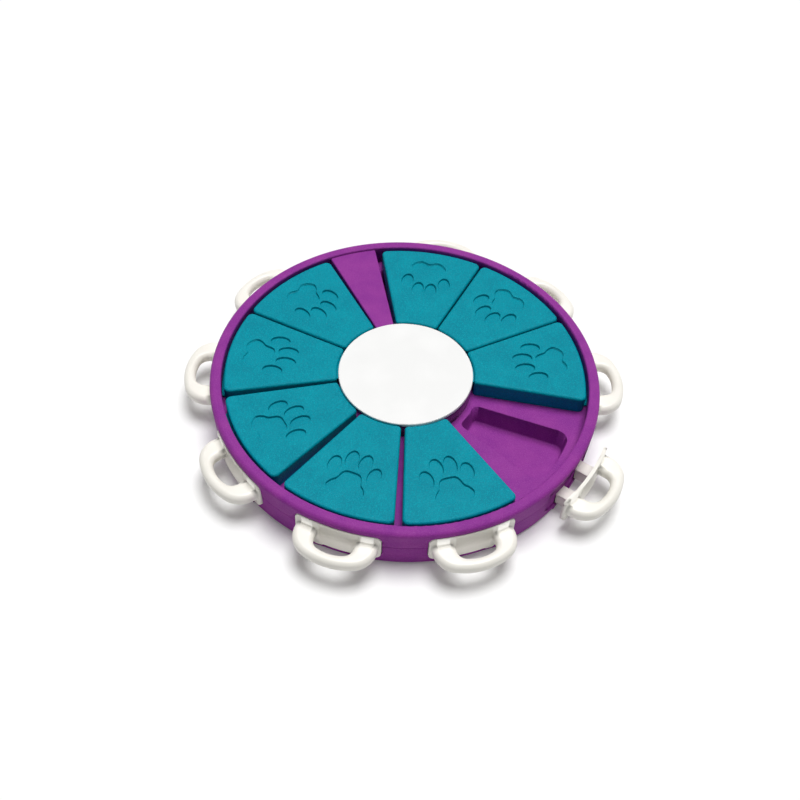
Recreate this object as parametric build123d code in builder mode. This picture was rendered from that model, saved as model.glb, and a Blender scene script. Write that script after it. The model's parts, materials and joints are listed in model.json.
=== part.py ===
"""Round puzzle feeder for dogs.

A tray with nine food pockets is covered by eight wedge-shaped blocks that slide
round a track. Nine locks with finger loops pull out of the side wall.

All sizes are in millimetres. +Z is up, and the origin lies under the toy's centre
on the surface that it stands on. Heights are counted from that surface. Angles are
counted from +X towards +Y, and the front is -Y.
"""

import os
from math import asin, cos, degrees, radians, sin, sqrt, tan

from build123d import *

# ---------------------------------------------------------------- body of the toy
body_radius = 165.0  # widest radius, at the top of the rim
base_radius = 162.8  # radius of the side wall at the underside
body_height = 43.3  # to the top of the rim
seam_height = 24.0  # the parting line between the two shells
seam_chamfer = 0.45  # the small V that shows round the side wall
rim_round = 4.2  # outer top edge of the rim
rim_inner_round = 1.8
base_round = 3.0
wall = 2.0  # general wall of the mouldings
base_thickness = 2.4
symmetry_angle = 291.35  # the whole toy is laid out about this line

# ---------------------------------------------------------------- track and hub
track_height = 25.8  # top of the floor that the blocks slide on
floor_thickness = 2.2
deck_height = 41.8  # top of the blocks and of the hub disc
rim_lip_radius = 155.2  # inside of the rim, above the blocks' flanges
track_outer_radius = 157.0  # inside of the rim, beside the flanges
track_step_radius = 153.6  # outside this the floor is a little lower
track_step = 0.5
lip_gap = 3.2  # from the blocks' flanges up to the rim's lip
hub_radius = 57.0
hub_core_radius = 51.5  # raised middle that carries the disc
disc_radius = 57.2
disc_thickness = 2.8
slit_height = 2.6  # room under the disc for the blocks' tongues

# ---------------------------------------------------------------- pockets and divider
pocket_count = 9
pocket_inner_radius = 62.0
pocket_outer_radius = 146.5
pocket_half_angle = 11.6
pocket_draft = 8.0  # degrees
pocket_outer_corner = 10.0
pocket_inner_corner = 5.0
pocket_floor_bevel = 1.4
pocket_lip = 0.7  # the edge round a pocket is broken by this much
pocket_wall = 1.8
pocket_clearance = 3.2  # from the bowls down to the base
divider_half_angle = 8.0
divider_drop = 0.8  # the divider's top lies this far below the deck
divider_round = 1.2

# ---------------------------------------------------------------- sliding blocks
block_angles = [138.4, 174.9, 212.7, 251.5, 289.6, 10.6, 46.9, 83.3]
block_angle = 36.2  # angle between the two side planes
block_side_gap = 0.5  # each side stands this far inside its radial line
block_inner_radius = 58.4
block_outer_radius = 153.0
block_outer_corner = 5.0
block_inner_corner = 3.0
block_top_round = 2.2
block_wall = 2.2
block_float = 0.2  # running clearance above the track floor
flange_height = 2.2
flange_clearance = 0.5
tongue_thickness = 1.8
tongue_clearance = 0.4
tongue_reach = 1.6  # gap left between a tongue and the hub's raised middle

# ---------------------------------------------------------------- locks
lock_count = 9
lock_pitch = 37.25
pulled_lock = 6  # this one rests pulled out
lock_travel = 14.0
seat_radius = 162.0  # floor of the shallow seats in the side wall
seat_clearance = 0.6
plate_gap = 0.3
plate_thickness = 2.9
plate_half_width = 35.0
plate_height = 26.8
plate_corner = 5.5
lock_height = 23.2  # centre of the plate and of the loop
loop_half_width = 33.8
loop_tip_radius = 189.8
loop_front_arc = 55.0  # the bowed front of the loop
loop_corner = 20.3
loop_height = 10.8
loop_round = 4.5
finger_half_width = 15.8
finger_tip_radius = 180.4
finger_front_arc = 31.0
finger_corner = 7.9
prong_offset = 15.4
prong_width = 10.6
prong_drop = 3.1  # from the underside of the floor down to the prongs' tops
prong_flange = 1.8
prong_step = 0.9  # the prong's body is this much narrower on each side
prong_bottom = 5.4
prong_round = 3.0
prong_tip_gap = 0.5  # to the outside of the pockets' bowls
slot_clearance = 0.3
sleeve_wall = 1.6
sleeve_inner_radius = 149.8

# ---------------------------------------------------------------- fasteners and pads
screw_circle = 128.0
screw_radius = 1.5
screw_length = 13.0
screw_head_radius = 3.2
screw_head_height = 2.0
boss_radius = 4.2
hole_clearance = 0.3
pilot_clearance = 0.05
disc_screw_count = 3
disc_screw_circle = 32.0
disc_screw_length = 4.0
disc_screw_head_radius = 4.6
disc_spigot_radius = 3.5
pad_count = 6  # near the rim, besides one at the centre
pad_circle = 145.0
pad_radius = 8.0
pad_socket_depth = 1.2
pad_round = 0.3
pad_stand = 0.8  # how far the pads hold the base off the surface
rib_thickness = 1.6
lap_height = 1.7
lap_gap = 0.3

# ---------------------------------------------------------------- worked out
pocket_pitch = 360 / pocket_count
divider_angle = symmetry_angle - 180
divider_height = deck_height - divider_drop
floor_underside = track_height - floor_thickness
disc_seat = deck_height - disc_thickness
hub_ledge = disc_seat - slit_height
skirt_inner_radius = seat_radius - 1.6  # inside of the outer side wall
rim_core_radius = track_outer_radius + 1.6  # outside of the rim's inner wall
plate_inner_radius = seat_radius + plate_gap
plate_outer_radius = plate_inner_radius + plate_thickness
seat_start = seat_radius - 17.0  # the seats and the plates are cut out of stock that starts here
seat_stock = body_radius + 20.0 - seat_start
first_lock_angle = symmetry_angle - lock_pitch * (lock_count - 1) / 2
lock_angles = [first_lock_angle + lock_pitch * k for k in range(lock_count)]
lip_bottom = track_height + block_float + flange_height + lip_gap
prong_top = floor_underside - prong_drop
draft_shift = (track_height - prong_top) * tan(radians(pocket_draft))
bowl_radius_at_prong = pocket_outer_radius - draft_shift + pocket_wall
prong_tip_radius = max(bowl_radius_at_prong, screw_circle + boss_radius) + prong_tip_gap
web_start = symmetry_angle + pocket_pitch / 2
base_top = pad_stand + base_thickness
bowl_underside = base_top + pocket_clearance
pocket_depth = track_height - pocket_wall - bowl_underside
boss_foot = base_top + 2.0


def side_radius(height):
    """Radius of the drafted side wall at a height."""
    return base_radius + (body_radius - base_radius) * height / body_height


def sector(inner, outer, half_angle, side_gap=0.0):
    """Sketch an annular sector about +X, its straight sides moved in by side_gap."""
    out = half_angle - degrees(asin(side_gap / outer))
    into = half_angle - degrees(asin(side_gap / inner))

    def corner(radius, angle):
        return (radius * cos(radians(angle)), radius * sin(radians(angle)))

    with BuildLine() as outline:
        CenterArc((0, 0), outer, -out, 2 * out)
        Line(corner(outer, out), corner(inner, into))
        CenterArc((0, 0), inner, -into, 2 * into)
        Line(corner(inner, -into), corner(outer, -out))
    make_face(outline.edges())


def round_sector(inner, outer, half_angle, side_gap, outer_corner, inner_corner):
    """Sketch a sector with its four corners rounded."""
    sector(inner, outer, half_angle, side_gap)
    fillet(vertices().sort_by(Axis.X)[-2:], outer_corner)
    fillet(vertices().sort_by(Axis.X)[:2], inner_corner)


def d_shape(root, tip, half_width, front_arc, corner):
    """Sketch a D along +X: a straight root, two legs and a bowed front."""
    bend = tip - front_arc + sqrt(front_arc**2 - half_width**2)
    with BuildLine() as outline:
        Polyline(
            (bend, -half_width), (root, -half_width), (root, half_width), (bend, half_width)
        )
        ThreePointArc((bend, half_width), (tip, 0), (bend, -half_width))
    make_face(outline.edges())
    fillet(vertices().sort_by(Axis.X)[-2:], corner)


def pocket_places():
    """One turn for each pocket."""
    return PolarLocations(0, pocket_count, start_angle=symmetry_angle)


def web_places(radius):
    """A place on each web between two pockets."""
    return PolarLocations(radius, pocket_count, start_angle=web_start)


def lock_places():
    """One turn for each lock."""
    return Locations(*[Location((0, 0, 0), (0, 0, angle)) for angle in lock_angles])


def pad_places():
    """The places of the rubber pads."""
    spots = [symmetry_angle + 360 / pad_count * k for k in range(pad_count)]
    ring = [(pad_circle * cos(radians(a)), pad_circle * sin(radians(a))) for a in spots]
    return Locations((0, 0), *ring)


os.makedirs("parts", exist_ok=True)

# ---------------------------------------------------------------- shared shapes
# Each of these lies about +X and is turned to its places where it is used.
# A lock's seat: a rounded rectangle, cut into the side wall down to one radius.
with BuildPart() as lock_seat:
    with BuildSketch(Plane.YZ.offset(seat_start)):
        with Locations((0, lock_height)):
            RectangleRounded(
                2 * (plate_half_width + seat_clearance),
                plate_height + 2 * seat_clearance,
                plate_corner + seat_clearance,
            )
    extrude(amount=seat_stock)
    with BuildSketch():
        Circle(seat_radius)
    extrude(amount=body_height, mode=Mode.SUBTRACT)

# The sleeves round a lock's two prongs, and the slots in them.
sleeve_top = prong_top + slot_clearance + sleeve_wall
with BuildPart() as sleeves:
    with BuildSketch(Plane.YZ.offset(sleeve_inner_radius)):
        with Locations(*[(s * prong_offset, (sleeve_top + wall) / 2) for s in (-1, 1)]):
            Rectangle(prong_width + 2 * (slot_clearance + sleeve_wall), sleeve_top - wall)
    extrude(amount=seat_radius - sleeve_inner_radius)
with BuildPart() as slots:
    with BuildSketch(Plane.YZ.offset(sleeve_inner_radius - 10)):
        with Locations(*[(s * prong_offset, (prong_top + prong_bottom) / 2) for s in (-1, 1)]):
            Rectangle(
                prong_width + 2 * slot_clearance,
                prong_top - prong_bottom + 2 * slot_clearance,
            )
    extrude(amount=40)

# The outside and the inside of one food pocket's bowl.
with BuildPart() as bowl:
    with BuildSketch(Plane.XY.offset(track_height)):
        round_sector(
            pocket_inner_radius - pocket_wall,
            pocket_outer_radius + pocket_wall,
            pocket_half_angle,
            -pocket_wall,
            pocket_outer_corner + pocket_wall,
            pocket_inner_corner + pocket_wall,
        )
    extrude(amount=-(track_height - bowl_underside), taper=pocket_draft)
with BuildPart() as pocket:
    with BuildSketch(Plane.XY.offset(track_height)):
        round_sector(
            pocket_inner_radius,
            pocket_outer_radius,
            pocket_half_angle,
            0.0,
            pocket_outer_corner,
            pocket_inner_corner,
        )
    extrude(amount=-pocket_depth, taper=pocket_draft)
    chamfer(edges().group_by(Axis.Z)[0], pocket_floor_bevel)
    with BuildSketch(Plane.XY.offset(track_height)):
        round_sector(
            pocket_inner_radius - pocket_lip,
            pocket_outer_radius + pocket_lip,
            pocket_half_angle,
            -pocket_lip,
            pocket_outer_corner + pocket_lip,
            pocket_inner_corner + pocket_lip,
        )
    extrude(amount=-pocket_lip, taper=45)

# The fixed divider, hollow and open from below, clear of the disc and its slit.
divider_end = disc_radius + slot_clearance
with BuildPart() as divider:
    with BuildSketch(Plane.XY.offset(floor_underside)):
        sector(hub_radius - wall / 2, track_outer_radius + wall / 2, divider_half_angle)
    extrude(amount=divider_height - floor_underside)
    fillet(edges().filter_by(GeomType.LINE).group_by(Axis.Z)[-1], divider_round)
    with BuildSketch(Plane.XY.offset(hub_ledge)):
        Circle(divider_end)
    extrude(amount=body_height - hub_ledge, mode=Mode.SUBTRACT)
with BuildPart() as divider_hollow:
    with BuildSketch(Plane.XY.offset(floor_underside)):
        sector(divider_end + wall, rim_lip_radius - wall, divider_half_angle, wall)
    extrude(amount=divider_height - wall - floor_underside)

# ---------------------------------------------------------------- upper tray
with BuildPart() as upper_tray:
    with BuildSketch(Plane.XZ):
        with BuildLine():
            Polyline(
                (0, disc_seat),
                (hub_core_radius, disc_seat),
                (hub_core_radius, hub_ledge),
                (hub_radius, hub_ledge),
                (hub_radius, track_height),
                (track_step_radius, track_height),
                (track_step_radius, track_height - track_step),
                (track_outer_radius, track_height - track_step),
                (track_outer_radius, lip_bottom - (track_outer_radius - rim_lip_radius)),
                (rim_lip_radius, lip_bottom),
                (rim_lip_radius, body_height),
                (body_radius, body_height),
                (side_radius(seam_height), seam_height),
                (skirt_inner_radius, seam_height),
                (skirt_inner_radius, body_height - rim_round),
                (rim_core_radius, body_height - rim_round),
                (rim_core_radius, floor_underside),
                (hub_radius - wall, floor_underside),
                (hub_radius - wall, hub_ledge - wall),
                (hub_core_radius - wall, hub_ledge - wall),
                (hub_core_radius - wall, disc_seat - wall),
                (0, disc_seat - wall),
                close=True,
            )
        make_face()
    revolve(axis=Axis.Z)
    fillet(edges().group_by(Axis.Z)[-1].sort_by(SortBy.RADIUS)[-1], rim_round)
    fillet(edges().group_by(Axis.Z)[-1].sort_by(SortBy.RADIUS)[0], rim_inner_round)
    seam_edges = edges().filter_by(GeomType.CIRCLE).filter_by_position(
        Axis.Z, seam_height - 0.01, seam_height + 0.01
    )
    chamfer(seam_edges.sort_by(SortBy.RADIUS)[-1], seam_chamfer)

    # The fixed divider, then the bowls of the food pockets.
    add(divider.part, rotation=(0, 0, divider_angle))
    add(divider_hollow.part, rotation=(0, 0, divider_angle), mode=Mode.SUBTRACT)
    with pocket_places():
        add(bowl.part)
    with pocket_places():
        add(pocket.part, mode=Mode.SUBTRACT)

    # Bosses for the shell screws, one under each web.
    with BuildSketch(Plane.XY.offset(boss_foot)):
        with web_places(screw_circle):
            Circle(boss_radius)
    extrude(amount=floor_underside - boss_foot + wall / 2)
    with BuildSketch(Plane.XY.offset(floor_underside)):
        with PolarLocations(screw_circle, 1, start_angle=divider_angle):
            Circle(boss_radius)
    extrude(amount=divider_height - wall / 2 - floor_underside)
    with BuildSketch(Plane.XY.offset(boss_foot)):
        with web_places(screw_circle):
            Circle(screw_radius + pilot_clearance)
    extrude(amount=screw_length, mode=Mode.SUBTRACT)

    # Holes for the disc's three spigots.
    with BuildSketch(Plane.XY.offset(disc_seat)):
        with PolarLocations(disc_screw_circle, disc_screw_count, start_angle=symmetry_angle):
            Circle(disc_spigot_radius + hole_clearance)
    extrude(amount=-2 * wall, mode=Mode.SUBTRACT)

    # Seats of the lock plates.
    with lock_places():
        add(lock_seat.part, mode=Mode.SUBTRACT)
upper_tray.part.label = "upper_tray"
export_step(upper_tray.part, "parts/upper_tray.step")

# ---------------------------------------------------------------- lower shell
with BuildPart() as lower_shell:
    with BuildSketch(Plane.XZ):
        with BuildLine():
            Polyline(
                (0, pad_stand),
                (base_radius, pad_stand),
                (side_radius(seam_height), seam_height),
                (skirt_inner_radius - lap_gap, seam_height),
                (skirt_inner_radius - lap_gap, seam_height + lap_height),
                (rim_core_radius + lap_gap, seam_height + lap_height),
                (rim_core_radius + lap_gap, prong_top + 2 * slot_clearance),
                (skirt_inner_radius, prong_top + 2 * slot_clearance),
                (skirt_inner_radius, base_top),
                (0, base_top),
                close=True,
            )
        make_face()
    revolve(axis=Axis.Z)
    foot = edges().filter_by(GeomType.CIRCLE).group_by(Axis.Z)[0].sort_by(SortBy.RADIUS)[-1]
    fillet(foot, base_round)
    seam_edges = edges().filter_by(GeomType.CIRCLE).filter_by_position(
        Axis.Z, seam_height - 0.01, seam_height + 0.01
    )
    chamfer(seam_edges.sort_by(SortBy.RADIUS)[-1], seam_chamfer)

    # A ring under the hub wall and ribs under the webs carry the tray.
    with BuildSketch(Plane.XY.offset(base_top)):
        Circle(hub_radius)
        Circle(hub_radius - wall, mode=Mode.SUBTRACT)
        with web_places((hub_radius + screw_circle) / 2):
            Rectangle(screw_circle - hub_radius - wall, rib_thickness)
    extrude(amount=floor_underside - base_top)
    with BuildSketch(Plane.XY.offset(base_top)):
        with web_places(screw_circle):
            Circle(boss_radius + 2 * hole_clearance)
    extrude(amount=floor_underside - base_top, mode=Mode.SUBTRACT)
    with BuildSketch(Plane.XY.offset(base_top)):
        with web_places(screw_circle):
            Circle(boss_radius + wall)
    extrude(amount=boss_foot - base_top)

    # Sleeves that guide the prongs of each lock.
    with lock_places():
        add(sleeves.part)
    with lock_places():
        add(slots.part, mode=Mode.SUBTRACT)
    with lock_places():
        add(lock_seat.part, mode=Mode.SUBTRACT)

    # Screw holes with sunk seats for the heads, and sockets for the pads.
    with BuildSketch():
        with web_places(screw_circle):
            Circle(screw_head_radius + hole_clearance)
    extrude(amount=base_top, mode=Mode.SUBTRACT)
    with BuildSketch():
        with web_places(screw_circle):
            Circle(screw_radius + hole_clearance)
    extrude(amount=boss_foot, mode=Mode.SUBTRACT)
    with BuildSketch():
        with pad_places():
            Circle(pad_radius + pilot_clearance)
    extrude(amount=pad_stand + pad_socket_depth, mode=Mode.SUBTRACT)
lower_shell.part.label = "lower_shell"
export_step(lower_shell.part, "parts/lower_shell.step")

# ---------------------------------------------------------------- hub disc
with BuildPart() as hub_disc:
    with BuildSketch(Plane.XY.offset(disc_seat)):
        Circle(disc_radius)
    extrude(amount=disc_thickness)
    fillet(edges().group_by(Axis.Z)[-1], 0.8)
    with BuildSketch(Plane.XY.offset(disc_seat)):
        with PolarLocations(disc_screw_circle, disc_screw_count, start_angle=symmetry_angle):
            Circle(disc_spigot_radius)
    extrude(amount=-wall)
    with BuildSketch(Plane.XY.offset(disc_seat - wall)):
        with PolarLocations(disc_screw_circle, disc_screw_count, start_angle=symmetry_angle):
            Circle(screw_radius + pilot_clearance)
    extrude(amount=disc_screw_length, mode=Mode.SUBTRACT)
hub_disc.part.label = "hub_disc"
export_step(hub_disc.part, "parts/hub_disc.step")

# ---------------------------------------------------------------- sliding blocks
# One block lies about +X and is then turned to each resting angle.
block_foot = track_height + block_float
tongue_inner_radius = hub_core_radius + tongue_reach
with BuildPart() as block:
    with BuildSketch(Plane.XY.offset(block_foot)):
        round_sector(
            block_inner_radius,
            block_outer_radius,
            block_angle / 2,
            block_side_gap,
            block_outer_corner,
            block_inner_corner,
        )
    extrude(amount=deck_height - block_foot)
    fillet(edges().group_by(Axis.Z)[-1], block_top_round)
    with BuildSketch(Plane.XY.offset(block_foot)):
        round_sector(
            block_inner_radius + block_wall,
            block_outer_radius - block_wall,
            block_angle / 2,
            block_side_gap + block_wall,
            block_outer_corner - block_wall,
            block_inner_corner - block_wall,
        )
    extrude(amount=deck_height - block_wall - block_foot, mode=Mode.SUBTRACT)
    # the flange that runs under the lip of the rim
    with BuildSketch(Plane.XY.offset(block_foot)):
        sector(
            block_outer_radius - block_wall / 2,
            track_outer_radius - flange_clearance,
            block_angle / 2 - 3,
        )
    extrude(amount=flange_height)
    # the tongue that runs in the slit under the disc
    with BuildSketch(Plane.XY.offset(hub_ledge + tongue_clearance)):
        sector(tongue_inner_radius, block_inner_radius + block_wall / 2, block_angle / 2 - 4)
    extrude(amount=tongue_thickness)

for number, angle in enumerate(block_angles, start=1):
    slide_block = block.part.rotate(Axis.Z, angle)
    slide_block.label = f"slide_block_{number}"
    export_step(slide_block, f"parts/slide_block_{number}.step")

# ---------------------------------------------------------------- locks
# One lock lies along +X, pushed in, and is then pulled and turned to its place.
loop_root = seat_radius - 15
with BuildPart() as lock:
    # the finger loop, its edges rounded almost to a tube
    with BuildSketch(Plane.XY.offset(lock_height)):
        d_shape(loop_root, loop_tip_radius, loop_half_width, loop_front_arc, loop_corner)
    extrude(amount=loop_height / 2, both=True)
    with BuildSketch(Plane.XY.offset(lock_height)):
        d_shape(loop_root, finger_tip_radius, finger_half_width, finger_front_arc, finger_corner)
    extrude(amount=loop_height / 2, both=True, mode=Mode.SUBTRACT)
    rims = faces().filter_by(Axis.Z).edges()
    fillet(rims.filter_by(lambda e: e.center().X > loop_root + 1), loop_round)
    with BuildSketch():
        Circle(plate_inner_radius + plate_thickness / 2)
    extrude(amount=body_height, mode=Mode.SUBTRACT)

    # two prongs: a flat flange above a narrower body with a rounded underside
    for side in (-1, 1):
        with BuildSketch(Plane.YZ.offset(prong_tip_radius - 8)):
            with Locations((side * prong_offset, prong_top - prong_flange / 2)):
                Rectangle(prong_width, prong_flange)
            with Locations((side * prong_offset, (prong_top + prong_bottom) / 2)):
                Rectangle(prong_width - 2 * prong_step, prong_top - prong_bottom)
            fillet(vertices().group_by(Axis.Y)[0], prong_round)
        extrude(amount=plate_inner_radius + plate_thickness / 4 - prong_tip_radius + 8)
    with BuildSketch():
        Circle(prong_tip_radius)
    extrude(amount=prong_top + 1, mode=Mode.SUBTRACT)

with BuildPart() as plate:
    with BuildSketch(Plane.YZ.offset(seat_start)):
        with Locations((0, lock_height)):
            RectangleRounded(2 * plate_half_width, plate_height, plate_corner)
    extrude(amount=seat_stock)
    with BuildSketch():
        Circle(plate_outer_radius)
        Circle(plate_inner_radius, mode=Mode.SUBTRACT)
    extrude(amount=body_height, mode=Mode.INTERSECT)

with BuildPart() as whole_lock:
    add(lock.part)
    add(plate.part)

for number, angle in enumerate(lock_angles, start=1):
    pull = lock_travel if number == pulled_lock else 0
    lock_handle = whole_lock.part.moved(Location((pull, 0, 0))).rotate(Axis.Z, angle)
    lock_handle.label = f"lock_handle_{number}"
    export_step(lock_handle, f"parts/lock_handle_{number}.step")

# ---------------------------------------------------------------- screws and pads
with BuildPart() as shell_screws:
    with BuildSketch(Plane.XY.offset(base_top)):
        with web_places(screw_circle):
            Circle(screw_head_radius)
    extrude(amount=-screw_head_height)
    with BuildSketch(Plane.XY.offset(base_top)):
        with web_places(screw_circle):
            Circle(screw_radius)
    extrude(amount=screw_length)
shell_screws.part.label = "shell_screws"
export_step(shell_screws.part, "parts/shell_screws.step")

with BuildPart() as disc_screws:
    with BuildSketch(Plane.XY.offset(disc_seat - wall)):
        with PolarLocations(disc_screw_circle, disc_screw_count, start_angle=symmetry_angle):
            Circle(disc_screw_head_radius)
    extrude(amount=-screw_head_height)
    with BuildSketch(Plane.XY.offset(disc_seat - wall)):
        with PolarLocations(disc_screw_circle, disc_screw_count, start_angle=symmetry_angle):
            Circle(screw_radius)
    extrude(amount=disc_screw_length - 0.4)
disc_screws.part.label = "disc_screws"
export_step(disc_screws.part, "parts/disc_screws.step")

with BuildPart() as rubber_pads:
    with BuildSketch():
        with pad_places():
            Circle(pad_radius)
    extrude(amount=pad_stand + pad_socket_depth)
    chamfer(edges().group_by(Axis.Z)[0], pad_round)
rubber_pads.part.label = "rubber_pads"
export_step(rubber_pads.part, "parts/rubber_pads.step")
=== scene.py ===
# %% [markdown]
# # A puzzle feeder for dogs
# The toy is a round purple tray with food pockets. Teal blocks slide round a track over the
# pockets, a white disc covers the hub, and white locks with finger loops pull out of the side.
# The shapes come from a measured model, so this lesson is about finish: what a moulded plastic
# looks like close by, how a shallow paw is sunk into a block, and how hidden pieces that repeat,
# such as screws and rubber pads, are made once and placed by Geometry Nodes.

# %% Load the measured model
import json
from math import cos, degrees, pi, radians, sin, tau

import bmesh
import bpy
from mathutils import Matrix, Vector

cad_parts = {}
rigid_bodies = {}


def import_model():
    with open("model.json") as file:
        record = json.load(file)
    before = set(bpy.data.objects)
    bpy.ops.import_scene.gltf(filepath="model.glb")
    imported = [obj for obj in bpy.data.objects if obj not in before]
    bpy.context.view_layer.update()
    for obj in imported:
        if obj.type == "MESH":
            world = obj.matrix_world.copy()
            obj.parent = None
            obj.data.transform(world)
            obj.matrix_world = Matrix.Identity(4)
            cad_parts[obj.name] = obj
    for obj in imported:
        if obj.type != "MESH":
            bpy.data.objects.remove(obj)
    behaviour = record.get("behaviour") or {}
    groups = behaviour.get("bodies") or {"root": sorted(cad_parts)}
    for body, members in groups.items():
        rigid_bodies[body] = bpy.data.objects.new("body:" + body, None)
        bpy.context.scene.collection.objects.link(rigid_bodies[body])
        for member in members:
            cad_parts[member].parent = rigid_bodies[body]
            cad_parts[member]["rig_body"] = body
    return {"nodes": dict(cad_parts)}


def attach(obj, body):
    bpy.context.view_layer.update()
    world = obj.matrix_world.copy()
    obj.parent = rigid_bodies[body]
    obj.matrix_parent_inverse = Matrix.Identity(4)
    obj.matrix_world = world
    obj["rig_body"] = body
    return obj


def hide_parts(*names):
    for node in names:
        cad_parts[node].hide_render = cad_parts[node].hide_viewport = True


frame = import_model()
scene = bpy.context.scene
nodes = frame["nodes"]
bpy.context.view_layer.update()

# %% [markdown]
# The toy stands on the floor plane at height 0, with its centre over the origin. These few
# sizes are used below. They are in metres, as everything in Blender is.

# %% Sizes that several pieces share
BLOCK_TOP = 0.0418  # top of the blocks, level with the disc
FRONT = radians(291.35)  # direction of the toy's line of symmetry
BLOCK_ANGLES = [138.4, 174.9, 212.7, 251.5, 289.6, 10.6, 46.9, 83.3]  # where the blocks rest
print(len(BLOCK_ANGLES), "blocks, with their tops", BLOCK_TOP, "m above the floor")

# %% [markdown]
# ## Camera
# The toy is seen from 48 degrees above the floor, from a little under a metre, with the camera
# rolled a few degrees. Such a view could be set by hand, with the camera's three angles. Here
# it is worked out instead, because a roll and an off-centre aim are hard to hit by eye. The
# rows of a matrix are the camera's right, up and back directions. Turning that basis first by
# the roll and then by the aim gives the view, and its transpose is the camera's own rotation.

# %% Camera
PICTURE = 800  # width of the picture; the next three values are in its pixels
FOCAL_LENGTH, AIM_RIGHT, AIM_UP = 1054.856, 5.877, 29.318
DISTANCE, RIM_TOP = 0.8935, 0.0433  # from the camera to the centre of the rim's top, and its height
SENSOR = 36
elevation, roll = radians(48.3525), radians(-3.5701)
aim = Vector((AIM_RIGHT / FOCAL_LENGTH, AIM_UP / FOCAL_LENGTH, -1)).normalized()

level = Matrix((
    (1, 0, 0),
    (0, sin(elevation), cos(elevation)),
    (0, -cos(elevation), sin(elevation)),
))
aimed = Vector((0, 0, -1)).rotation_difference(aim).to_matrix()
turned = aimed @ Matrix.Rotation(roll, 3, "Z") @ level
camera = bpy.data.objects.new("Camera", bpy.data.cameras.new("Camera"))
scene.collection.objects.link(camera)
camera.data.sensor_width = SENSOR
camera.data.lens = SENSOR * (FOCAL_LENGTH / PICTURE)
camera.data.clip_start, camera.data.clip_end = 0.02, 20
camera.rotation_mode = "QUATERNION"
camera.rotation_quaternion = turned.transposed().to_quaternion()
camera.location = level[2] * DISTANCE + Vector((0, 0, RIM_TOP))
scene.camera = camera
print("camera at", tuple(round(x, 3) for x in camera.location), "lens", round(camera.data.lens, 2))

# %% [markdown]
# ## Shader maths
# A finish is a sum of small effects: a grain, a mottle, a few brighter specks. Written as node
# calls this is hard to read, so a small class wraps a socket and lets Python's operators add the
# Math nodes. `Finish` holds one material and its one shader. `node` adds any other node: its
# settings are set first, and then its sockets get values or links.

# %% A socket that can be calculated with
class Socket:
    """A socket of a finish's tree. Arithmetic on it adds Math nodes."""

    def __init__(self, finish, socket):
        self.finish, self.socket = finish, socket

    def math(self, operation, *values):
        """Adds one Math node."""
        return self.finish.node("Math", {"operation": operation}, values)

    def __add__(self, other):
        return self.math("ADD", self, other)

    def __mul__(self, other):
        return self.math("MULTIPLY", self, other)

    def __sub__(self, other):
        return self.math("SUBTRACT", self, other)

    def __rsub__(self, other):
        return self.math("SUBTRACT", other, self)

    __radd__, __rmul__ = __add__, __mul__


# %% One material and its shader
class Finish:
    """A material with one Principled shader."""

    def __init__(self, name, constants=None):
        self.material = bpy.data.materials.new(name)
        self.material.use_nodes = True
        self.tree = self.material.node_tree
        self.shader = self.tree.nodes["Principled BSDF"]
        for socket, value in (constants or {}).items():
            self.shader.inputs[socket].default_value = value
        self.place = self.node("TexCoord", {}, {}, "Object")

    def put(self, value, socket):
        """Gives a socket a link or a plain value."""
        if isinstance(value, Socket):
            self.tree.links.new(value.socket, socket)
        else:
            socket.default_value = value

    def node(self, kind, settings=None, sockets=(), output=0):
        """Adds any node: its settings first, then the values or links of its sockets."""
        made = self.tree.nodes.new("ShaderNode" + kind)
        for name, value in (settings or {}).items():
            setattr(made, name, value)
        pairs = sockets.items() if isinstance(sockets, dict) else enumerate(sockets)
        for name, value in pairs:
            self.put(value, made.inputs[name])
        return Socket(self, made.outputs[output])

    def noise(self, size, detail=2.0, roughness=0.5):
        """Soft noise with patches of about this size, from 0 to 1."""
        return self.node("TexNoise", {}, {
            "Vector": self.place, "Scale": 1 / size, "Detail": detail, "Roughness": roughness,
        })

    def pebbles(self, size):
        """Rounded cells of about this size, 0 in their middles and higher between them."""
        return self.node("TexVoronoi", {"feature": "SMOOTH_F1"}, {
            "Vector": self.place, "Scale": 1 / size,
        }, "Distance")

    def ramp(self, value, low, high):
        """0 below low, 1 above high, and a straight line between."""
        return self.node("MapRange", {}, {
            "Value": value, "From Min": low, "From Max": high,
        })

    def blend(self, amount, first, second):
        """A colour between two colours."""
        return self.node("Mix", {"data_type": "RGBA"}, {0: amount, 6: first, 7: second}, 2)

    def bump(self, height, depth):
        """The normal of a surface whose relief is this deep."""
        return self.node("Bump", {}, {"Height": height, "Distance": depth, "Strength": 1.0})

    def feed(self, links):
        """Links what varies over the surface to the shader, and gives the material."""
        for socket, value in links.items():
            self.put(value, self.shader.inputs[socket])
        return self.material


# %% Colours on the usual scale
def rgb(red, green, blue):
    """A colour on the usual 0 to 255 scale, as the linear values that a shader takes."""
    scaled = [c / 255 for c in (red, green, blue)]
    return (*[c / 12.92 if c <= 0.04045 else ((c + 0.055) / 1.055) ** 2.4 for c in scaled], 1)


print("mid grey, 128 on the usual scale, is", round(rgb(128, 128, 128)[0], 3), "in a shader")
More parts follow.
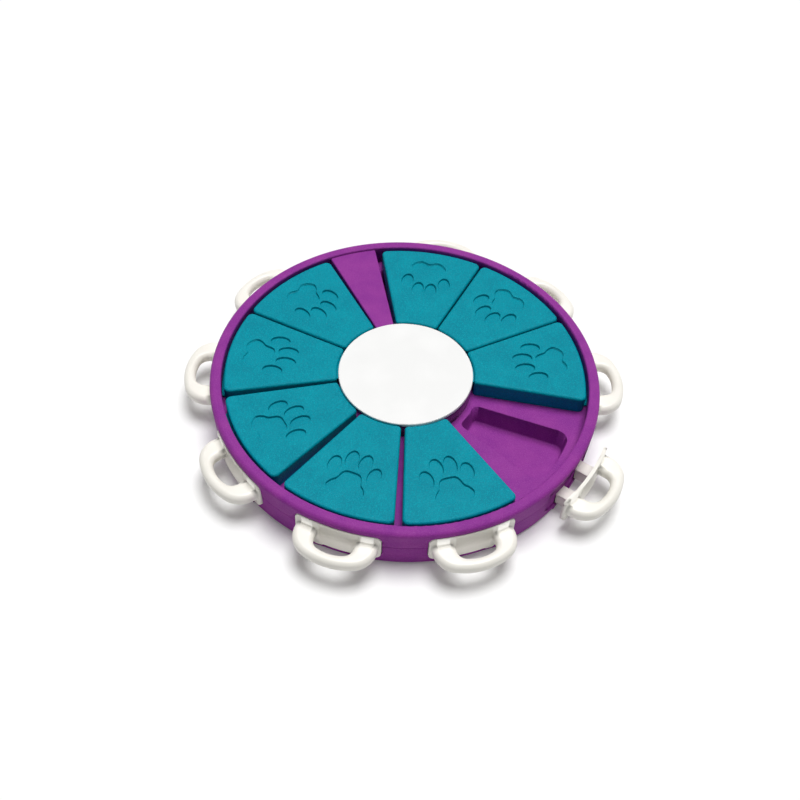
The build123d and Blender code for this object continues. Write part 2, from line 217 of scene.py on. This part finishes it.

# %% [markdown]
# ## The plastics
# An injection mould is spark-eroded or etched before use, and its fine grain is printed on each
# piece. Three things show it: the surface is slightly pebbled, the gloss breaks up into points,
# and a slow mottle shows where the melt cooled first. The brightest of those points are also
# painted into the colour as lighter specks, which are a painted highlight. The pebbles are a little
# over a millimetre across, with dust half as fine between them, so they read as a texture close by
# and as a soft sheen from further off. An image could hold the grain, but it would have to be laid
# out over every piece, so it is worked out from the place on the surface instead.

# %% Grained plastic for the tray and the blocks
def grained(name, base, glint_colour, darker, grain, depth, gloss, shine):
    """Moulded plastic with an etched grain: a base colour, a darker mottle, and lighter specks that
    are painted glints.
    """
    finish = Finish(name, {"Specular IOR Level": shine})
    pebbles = finish.pebbles(grain)
    dust = finish.noise(grain * 0.45, 3.0, 0.6)
    waves = finish.noise(0.018, 2.0)
    height = pebbles * 0.7 + dust * 0.6
    mottled = finish.blend(finish.ramp(waves, 0.35, 0.65), darker, base)
    # lighter specks where the dust is high: painted glints, a highlight painted into the colour on
    # top of the real gloss
    with_painted_glints = finish.blend(finish.ramp(dust, 0.5, 0.74) * 0.7, mottled, glint_colour)
    roughness = gloss + finish.ramp(dust, 0.3, 0.7) * 0.16 - finish.ramp(waves, 0.3, 0.7) * 0.05
    return finish.feed({
        "Base Color": with_painted_glints,
        "Roughness": roughness,
        "Normal": finish.bump(height, depth),
    })


purple = grained("Purple_moulding", rgb(144, 53, 147), rgb(180, 96, 180), rgb(134, 46, 142),
                 grain=0.0012, depth=0.00022, gloss=0.44, shine=0.07)
teal = grained("Teal_moulding", rgb(0, 138, 157), rgb(12, 196, 212), rgb(0, 130, 150),
               grain=0.0014, depth=0.00034, gloss=0.31, shine=0.06)
print("grained plastics:", purple.name, teal.name)

# %% [markdown]
# The white pieces are smoother. The locks are handled and bitten, so their mould is polished
# and only a faint orange-peel is left. The disc has a fine, even grain. White shows every
# shadow, so both relief and mottle are kept to a trace.

# %% White plastics
def smooth_white(name, base, shaded, peel, depth, gloss):
    """Nearly smooth white plastic: a slow orange-peel and a trace of dust."""
    finish = Finish(name, {"Specular IOR Level": 0.5})
    peel_height = finish.noise(peel, 2.0)
    dust = finish.noise(0.0006, 3.0, 0.6)
    tint = finish.blend(finish.ramp(finish.noise(0.03), 0.4, 0.7), shaded, base)
    return finish.feed({
        "Base Color": tint,
        "Roughness": gloss + finish.ramp(dust, 0.35, 0.7) * 0.12,
        "Normal": finish.bump(peel_height * 0.6 + dust * 0.5, depth),
    })


lock_white = smooth_white("Lock_white", rgb(245, 242, 234), rgb(240, 237, 228),
                          peel=0.004, depth=0.00006, gloss=0.30)
disc_white = smooth_white("Disc_white", rgb(240, 240, 239), rgb(236, 236, 235),
                          peel=0.002, depth=0.00005, gloss=0.42)
print("white plastics:", lock_white.name, disc_white.name)

# %% [markdown]
# Underneath are zinc-plated screws and dark rubber pads. Plating is bright but uneven, so its
# colour and its gloss follow the same spots. Rubber is nearly black, matt, and a little dusty.

# %% Screw steel and pad rubber
def plated_steel():
    """Zinc plating on a small screw."""
    finish = Finish("Plated_steel", {"Metallic": 1.0})
    spots = finish.noise(0.0012, 3.0)
    return finish.feed({
        "Base Color": finish.blend(spots, rgb(168, 168, 172), rgb(205, 205, 207)),
        "Roughness": 0.24 + spots * 0.22,
        "Normal": finish.bump(finish.noise(0.0004, 2.0), 0.00002),
    })


def pad_rubber():
    """Soft dark rubber."""
    finish = Finish("Pad_rubber", {"Specular IOR Level": 0.3})
    dust = finish.noise(0.0008, 4.0, 0.65)
    return finish.feed({
        "Base Color": finish.blend(finish.ramp(dust, 0.5, 0.8), rgb(38, 38, 41), rgb(66, 66, 68)),
        "Roughness": 0.72 + dust * 0.2,
        "Normal": finish.bump(dust, 0.00008),
    })


steel, rubber = plated_steel(), pad_rubber()
print("small parts:", steel.name, rubber.name)

# %% [markdown]
# ## Welded copies of the measured pieces
# The measured meshes are loose triangles, so every facet would show in a highlight. A copy is
# welded at its corners and shaded smoothly wherever two faces meet at a small angle. Weighted
# normals keep large flat faces flat right up to their rounded edges, which is how a moulding
# catches the light. A bevel would round the edges too, but it would change the measured shape.
# The copy stands for the measured piece and rides on the same body.

# %% Weld a measured piece
CORNERS_WITHIN = 2e-6  # corners nearer than this are one
FLAT_WITHIN = radians(0.4)  # triangles that turn less than this are one flat face


def new_piece(name, mesh):
    """A new object at the origin that holds this mesh."""
    piece = bpy.data.objects.new(name, mesh)
    scene.collection.objects.link(piece)
    return piece


def formed(name, form):
    """Makes a piece from an edited mesh, and frees that mesh."""
    mesh = bpy.data.meshes.new(name)
    form.to_mesh(mesh)
    form.free()
    return new_piece(name, mesh)


def welded_copy(node, name):
    """Joins the loose triangles of a measured mesh, and the pieces of its flat faces."""
    piece = new_piece(name, nodes[node].data.copy())
    form = bmesh.new()
    form.from_mesh(piece.data)
    bmesh.ops.remove_doubles(form, verts=form.verts, dist=CORNERS_WITHIN)
    bmesh.ops.dissolve_degenerate(form, dist=1e-7, edges=form.edges)
    bmesh.ops.dissolve_limit(form, angle_limit=FLAT_WITHIN, verts=form.verts, edges=form.edges)
    form.to_mesh(piece.data)
    form.free()
    return piece


print("welding joins corners within", CORNERS_WITHIN, "m of each other")

# %% Smooth a piece, and let it stand for the measured one
SHARP_OVER = radians(50)  # edges that turn more than this stay sharp
FACE_WEIGHT = 80  # how much a large face counts in the normals of its corners


def baked(piece):
    """Replaces a piece's mesh by what its modifiers make of it, and removes them."""
    graph = bpy.context.evaluated_depsgraph_get()
    mesh = bpy.data.meshes.new_from_object(
        piece.evaluated_get(graph), preserve_all_data_layers=True, depsgraph=graph)
    piece.modifiers.clear()
    piece.data = mesh
    return piece


def shade(piece):
    """Smooth shading, with sharp edges kept and flat faces kept flat."""
    mesh = piece.data
    mesh.polygons.foreach_set("use_smooth", [True] * len(mesh.polygons))
    mesh.set_sharp_from_angle(angle=SHARP_OVER)
    normals = piece.modifiers.new("Flat faces stay flat", "WEIGHTED_NORMAL")
    normals.keep_sharp = True
    normals.weight = FACE_WEIGHT
    return baked(piece)


def stand_for(piece, node, material):
    """Gives a copy its material and body, and hides the measured node behind it."""
    piece.data.materials.clear()
    piece.data.materials.append(material)
    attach(piece, nodes[node]["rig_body"])
    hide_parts(node)
    return piece


print("edges stay sharp over", round(degrees(SHARP_OVER)), "degrees")

# %% [markdown]
# ## The tray, the base and the disc
# The tray is one moulding with the rim, the track and the pockets. The base closes it from
# below, and the white disc caps the hub. They could be modelled again with finer curves, but
# their shapes are right as measured, so only the shading and the finish are new.

# %% The tray, the base and the disc
for node, name, material, slot in (
    ("upper_tray", "Tray", purple, "purple_plastic"),
    ("lower_shell", "Base", purple, "purple_plastic"),
    ("hub_disc", "Hub_disc", disc_white, "white_plastic"),
):
    shell = stand_for(shade(welded_copy(node, name)), node, material)
    print(name, len(shell.data.polygons), "faces")

# %% [markdown]
# ## The locks
# Each lock is one white moulding: a curved plate that closes its seat in the side wall, a
# finger loop nearly round in section, and two prongs. All nine are alike, but each rides on a
# body of its own, so each measured lock gets its own copy rather than one shared mesh.

# %% The nine locks
for number in range(1, 10):
    node = f"lock_handle_{number}"
    lock = stand_for(shade(welded_copy(node, f"Lock_{number}")), node, lock_white)
print("each lock has", len(lock.data.polygons), "faces")

# %% [markdown]
# ## The sunken paws
# Each block has a paw sunk two millimetres into its top, toes towards the hub. From above it
# reads as an outline, because only the walls that face away from the light are dark. It could
# be painted with a bump map, but a real step keeps its shadow from every side, so it is cut.
# The cutter is five closed shapes: four oval toes and one pad with three lobes.

# %% The outlines of one paw
TOES = [  # along the block from the centre, across it, half length, half width, lean
    (0.1116, 0.0168, 0.0085, 0.0053, 3.0),
    (0.1023, 0.0058, 0.0087, 0.0052, 1.5),
]
PAD = [  # the right half of the pad, from the middle of its arch to the notch in its heel
    (0.1137, 0.0), (0.1139, 0.0045), (0.1154, 0.0072), (0.1181, 0.0087), (0.1219, 0.0099),
    (0.1238, 0.0110), (0.1258, 0.0132), (0.1284, 0.0149), (0.1308, 0.0158), (0.1331, 0.0153),
    (0.1351, 0.0139), (0.1371, 0.0120), (0.1384, 0.0098), (0.1390, 0.0076), (0.1387, 0.0054),
    (0.1378, 0.0034), (0.1369, 0.0016), (0.1366, 0.0),
]


def oval(along, across, half_length, half_width, lean, steps=40):
    """A leaning ellipse as a ring of points."""
    middle, turn = Vector((along, across)), Matrix.Rotation(radians(lean), 2)
    angles = [tau * step / steps for step in range(steps)]
    return [middle + turn @ Vector((half_length * cos(a), half_width * sin(a))) for a in angles]


def smooth_ring(points, steps=5):
    """A closed smooth curve through the points, by Catmull and Rom's rule."""
    ring, count = [], len(points)
    for i in range(count):
        a, b, c, d = (Vector(points[(i + k) % count]) for k in (-1, 0, 1, 2))
        for step in range(steps):
            t = step / steps
            ring.append(0.5 * (2 * b + (c - a) * t + (2 * a - 5 * b + 4 * c - d) * t ** 2
                               + (3 * b - a - 3 * c + d) * t ** 3))
    return ring


outlines = [smooth_ring(PAD + [(along, -across) for along, across in PAD[-2:0:-1]])]
for along, across, half_length, half_width, lean in TOES:
    for side in (-1, 1):
        outlines.append(oval(along, side * across, half_length, half_width, -side * lean))
print("one paw:", [len(ring) for ring in outlines], "points in its rings")

# %% [markdown]
# Each outline becomes a stack of rings. Two are a little wider, one above the block's top and
# one level with it, and the third is just below, which gives the hollow a softened lip. The
# last is at the bottom and a little narrower, because a mould's walls lean so that it can open.

# %% The cutter of one paw
PAW_DEPTH = 0.0020
PAW_RINGS = (  # height over the block's top, and how far the outline is moved outwards
    (0.001, 0.0004), (0, 0.0004), (-0.00035, 0.0), (-PAW_DEPTH, -0.00025),
)


def grown(ring, by):
    """The ring moved outwards by a distance, inwards if it is negative."""
    count, moved = len(ring), []
    area = sum(ring[i - 1].cross(ring[i]) for i in range(count))
    for i in range(count):
        along = (ring[(i + 1) % count] - ring[i - 1]).normalized()
        outward = Vector((along.y, -along.x)) * (1 if area > 0 else -1)
        moved.append(ring[i] + outward * by)
    return moved


def paw_cutter(turn):
    """Five closed shapes that sink one paw into a block resting at this angle."""
    form = bmesh.new()
    for outline in outlines:
        stack = []
        for height, by in PAW_RINGS:
            ring = grown(outline, by)
            stack.append([form.verts.new((*point, BLOCK_TOP + height)) for point in ring])
        for upper, lower in zip(stack, stack[1:]):
            for i in range(len(outline)):
                form.faces.new((upper[i - 1], upper[i], lower[i], lower[i - 1]))
        form.faces.new(stack[0])
        form.faces.new(stack[-1])
    bmesh.ops.recalc_face_normals(form, faces=form.faces)
    form.transform(Matrix.Rotation(radians(turn), 4, "Z"))
    return formed("Paw_cutter", form)


def cut_out(piece, cutter):
    """Cuts the cutter's shape out of a piece, and removes the cutter."""
    cut = piece.modifiers.new("Cut", "BOOLEAN")
    cut.operation, cut.object, cut.solver = "DIFFERENCE", cutter, "EXACT"
    baked(piece)
    bpy.data.objects.remove(cutter)
    return piece


# %% The eight blocks
for number, turn in enumerate(BLOCK_ANGLES, start=1):
    node = f"slide_block_{number}"
    block = cut_out(welded_copy(node, f"Block_{number}"), paw_cutter(turn))
    stand_for(shade(block), node, teal)
print("each block has", len(block.data.polygons), "faces")

# %% [markdown]
# ## Pieces that repeat round a circle
# Screws and pads stand in rings. Each could be copied by hand, but a ring follows a rule, so
# one is made and Geometry Nodes place the rest. The tree takes a circle's points, turns each
# copy by a random amount, because no two screws stop at the same turn, and ends by making the
# copies real and giving them their material.

# %% A tree that stands copies of a piece on a circle
def circle_placer():
    """The geometry tree, with a named input for each size."""
    tree = bpy.data.node_groups.new("Stand_on_a_circle", "GeometryNodeTree")
    inputs = (("Piece", "Object"), ("Count", "Int"), ("Radius", "Float"), ("First Angle", "Float"),
              ("Turn", "Float"), ("Seed", "Int"), ("Material", "Material"))
    for name, kind in inputs:
        tree.interface.new_socket(name, in_out="INPUT", socket_type="NodeSocket" + kind)
    tree.interface.new_socket("Mesh", in_out="OUTPUT", socket_type="NodeSocketGeometry")
    given, result = tree.nodes.new("NodeGroupInput").outputs, tree.nodes.new("NodeGroupOutput")

    def add(kind, **links):
        """Adds a node. A link is named after its socket, or _ and its number."""
        made = tree.nodes.new(kind)
        for name, value in links.items():
            numbered = name[1:].isdigit()
            socket = made.inputs[int(name[1:]) if numbered else name.replace("_", " ")]
            if isinstance(value, bpy.types.NodeSocket):
                tree.links.new(value, socket)
            else:
                socket.default_value = value
        return made.outputs

    circle = add("GeometryNodeMeshCircle", Vertices=given["Count"], Radius=given["Radius"])
    first = add("ShaderNodeCombineXYZ", Z=given["First Angle"])
    points = add("GeometryNodeTransform", Geometry=circle[0], Rotation=first[0])
    amount = add("FunctionNodeRandomValue", _2=0.0, _3=given["Turn"], Seed=given["Seed"])
    spin = add("ShaderNodeCombineXYZ", Z=amount[1])
    shape = add("GeometryNodeObjectInfo", Object=given["Piece"])
    copies = add("GeometryNodeInstanceOnPoints", Points=points[0], Instance=shape["Geometry"],
                 Rotation=spin[0])
    real = add("GeometryNodeRealizeInstances", Geometry=copies[0])
    finished = add("GeometryNodeSetMaterial", Geometry=real[0], Material=given["Material"])
    tree.links.new(finished[0], result.inputs[0])
    return tree


placer = circle_placer()
print("placer inputs:", [item.name for item in placer.interface.items_tree if item.in_out == "INPUT"])

# %% Use the tree on a shape
def placed_round(name, shape, **values):
    """Copies of a shape on a circle, as one plain mesh."""
    holder = new_piece(name, bpy.data.meshes.new(name))
    ring = holder.modifiers.new("Place", "NODES")
    ring.node_group = placer
    sockets = {item.name: item.identifier for item in placer.interface.items_tree}
    for words, value in dict(values, piece=shape).items():
        ring[sockets[words.replace("_", " ").title()]] = value
    return baked(holder)


# %% [markdown]
# ## Turned shapes
# A screw and a pad are both round. They could be built from cylinders, but a profile spun about
# the vertical gives the soft edges as well. A profile is a list of radius and height pairs, and
# a zero radius closes the shape at its pole.

# %% Spin a profile
def turned_shape(name, profile, steps=32):
    """A closed shape of revolution from pairs of radius and height."""
    form = bmesh.new()
    spokes = [(cos(tau * step / steps), sin(tau * step / steps)) for step in range(steps)]
    rings = []
    for radius, height in profile:
        if radius:
            rings.append([form.verts.new((radius * x, radius * y, height)) for x, y in spokes])
        else:
            rings.append([form.verts.new((0, 0, height))] * steps)
    for lower, upper in zip(rings, rings[1:]):
        for i in range(steps):
            corners = dict.fromkeys((lower[i - 1], lower[i], upper[i], upper[i - 1]))
            form.faces.new(list(corners))
    bmesh.ops.recalc_face_normals(form, faces=form.faces)
    return formed(name, form)


# %% [markdown]
# ## Screws
# Self-tapping screws for plastic have a flat head with a cross recess and a coarse thread. The
# head is spun with a softened edge and the recess is cut with a tapered cross. The thread is a
# stack of rings. A true helix would cost many faces, and the shank is hidden in its boss.

# %% One screw, head down
PITCH = 0.0013  # from one turn of the thread to the next


def cross_recess(low, width, reach, depth):
    """A cross of twelve corners that narrows upwards, to cut the recess."""
    form = bmesh.new()
    arm = [Vector((width, -width)), Vector((reach, -width)), Vector((reach, width))]
    cross = [Matrix.Rotation(quarter * pi / 2, 2) @ corner for quarter in range(4) for corner in arm]
    rings = []
    for height, scale in ((-0.001, 1.15), (depth, 0.55)):  # wide below the head, narrow inside
        rings.append([form.verts.new((*corner * scale, low + height)) for corner in cross])
    for i in range(len(cross)):
        form.faces.new((rings[0][i - 1], rings[0][i], rings[1][i], rings[1][i - 1]))
    for ring in rings:
        form.faces.new(ring)
    bmesh.ops.recalc_face_normals(form, faces=form.faces)
    return formed("Cross_recess", form)


def screw(name, bearing, head_radius, head_height, shank_radius, length):
    """A screw whose head hangs below its bearing height."""
    low = bearing - head_height
    # the head with its softened edge, and the step in to the shank
    profile = [(0, low), (head_radius - 0.0005, low), (head_radius - 0.0001, low + 0.0003),
               (head_radius, low + 0.0008), (head_radius, bearing), (shank_radius * 0.8, bearing)]
    # one ridge for each turn of the thread, and a point at the end
    height = bearing + 0.0004
    while height + PITCH < bearing + length - 0.001:
        profile += [(shank_radius * 0.78, height), (shank_radius, height + PITCH * 0.45),
                    (shank_radius * 0.78, height + PITCH * 0.8)]
        height += PITCH
    profile += [(shank_radius * 0.7, height), (0, bearing + length)]
    cutter = cross_recess(low, head_radius * 0.12, head_radius * 0.58, head_height * 0.6)
    return cut_out(turned_shape(name, profile, 24), cutter)


# %% The shell screws and the disc screws
SCREWS = (  # node, bearing height, head radius and height, shank radius, length, then their circle
    ("shell_screws", 0.0032, 0.0032, 0.0020, 0.0015, 0.013, 9, 0.128, FRONT + radians(20)),
    ("disc_screws", 0.0370, 0.0046, 0.0020, 0.0015, 0.0036, 3, 0.032, FRONT),
)
for node, bearing, head, head_height, shank, length, count, radius, first in SCREWS:
    one = screw("One_screw", bearing, head, head_height, shank, length)
    ring = placed_round(node.title(), one, count=count, radius=radius, first_angle=first,
                        turn=tau, seed=7, material=steel)
    bpy.data.objects.remove(one)
    stand_for(shade(ring), node, steel)
    print(node, count, "screws,", len(ring.data.polygons), "faces")

# %% [markdown]
# ## Rubber pads
# Six pads near the rim and one at the centre keep the toy from sliding. Each is a turned disc
# whose underside has two shallow grooves, so that their edges grip. The first pad stays at the
# centre, and the tree places the other six.

# %% The pads
PAD_PROFILE = [  # from the middle of the underside outwards, and up to the middle of the top
    (0, 0), (0.0022, 0), (0.0025, 0.0004), (0.0032, 0.0004), (0.0035, 0),
    (0.0052, 0), (0.0055, 0.0004), (0.0062, 0.0004), (0.0065, 0),
    (0.0077, 0), (0.0080, 0.0003), (0.0080, 0.0020), (0, 0.0020),
]


def joined(name, *parts):
    """Several plain meshes as one piece."""
    form = bmesh.new()
    for part in parts:
        form.from_mesh(part.data)
    whole = formed(name, form)
    for part in parts:
        bpy.data.objects.remove(part)
    return whole


pad = turned_shape("One_pad", PAD_PROFILE, 48)
outer = placed_round("Outer_pads", pad, count=6, radius=0.145, first_angle=FRONT, turn=0.0, seed=1,
                     material=rubber)
pads = joined("Rubber_pads", outer, pad)
stand_for(shade(pads), "rubber_pads", rubber)
print("pads:", len(pads.data.polygons), "faces")

# %% [markdown]
# ## Floor and light
# The toy lies on plain white paper under one soft lamp, almost overhead and a little behind.
# The lamp is a sun, so that the paper is as bright at its edges as beside the toy. The near
# walls of the toy then get only what the paper throws back, so they are darker than the top,
# and the shadow on the paper is short and soft. The world is white to the camera and in
# reflections but nearly dark as a light, because light from all sides would fill the hollows
# and the gaps between the blocks.

# %% What the camera and reflections see
def seen_directly(tree):
    """1 for rays from the camera, reflected rays and rays through glass, else 0."""
    path = tree.nodes.new("ShaderNodeLightPath")
    total = path.outputs["Is Camera Ray"]
    for kind in ("Is Glossy Ray", "Is Transmission Ray"):
        either = tree.nodes.new("ShaderNodeMath")
        either.operation = "MAXIMUM"
        tree.links.new(total, either.inputs[0])
        tree.links.new(path.outputs[kind], either.inputs[1])
        total = either.outputs[0]
    return total


# %% Floor
WHITENESS, GLOW = 0.88, 0.09  # of the paper; the glow lifts it to pure white
FLOOR_SIZE = 6


def paper():
    """White paper that glows a little to the camera and in reflections."""
    material = bpy.data.materials.new("Paper")
    material.use_nodes = True
    tree = material.node_tree
    shader = tree.nodes["Principled BSDF"]
    shader.inputs["Base Color"].default_value = (WHITENESS, WHITENESS, WHITENESS, 1)
    shader.inputs["Roughness"].default_value = 1
    shader.inputs["Specular IOR Level"].default_value = 0
    shader.inputs["Emission Color"].default_value = (1, 1, 1, 1)
    glowing = tree.nodes.new("ShaderNodeMath")
    glowing.operation = "MULTIPLY"
    glowing.inputs[1].default_value = GLOW
    tree.links.new(seen_directly(tree), glowing.inputs[0])
    tree.links.new(glowing.outputs[0], shader.inputs["Emission Strength"])
    return material


sheet = bmesh.new()
bmesh.ops.create_grid(sheet, x_segments=1, y_segments=1, size=FLOOR_SIZE)
floor = formed("Floor", sheet)
floor.data.materials.append(paper())
print("floor:", 2 * FLOOR_SIZE, "m across")

# %% Lamp and world
SUN_STRENGTH, SUN_SPREAD = 2.9, radians(34)
SUN_FROM = Vector((0.14, 0.30, 1.4))  # the direction that it shines from
WORLD_LIGHT = 0.16  # strength of the white world as a light, where 1 is what the camera sees

key = bpy.data.objects.new("Key", bpy.data.lights.new("Key", "SUN"))
key.data.energy, key.data.angle = SUN_STRENGTH, SUN_SPREAD
key.rotation_euler = SUN_FROM.to_track_quat("Z", "Y").to_euler()
scene.collection.objects.link(key)
scene.world = scene.world or bpy.data.worlds.new("World")
scene.world.use_nodes = True
air = scene.world.node_tree
sky, strength = air.nodes["Background"], air.nodes.new("ShaderNodeMath")
strength.operation = "MULTIPLY_ADD"
strength.inputs[1].default_value = 1 - WORLD_LIGHT
strength.inputs[2].default_value = WORLD_LIGHT
air.links.new(seen_directly(air), strength.inputs[0])
air.links.new(strength.outputs[0], sky.inputs["Strength"])
sky.inputs["Color"].default_value = (1, 1, 1, 1)
scene.view_settings.view_transform = "Standard"
print("one sun of strength", SUN_STRENGTH, "and a world that lights with", WORLD_LIGHT)
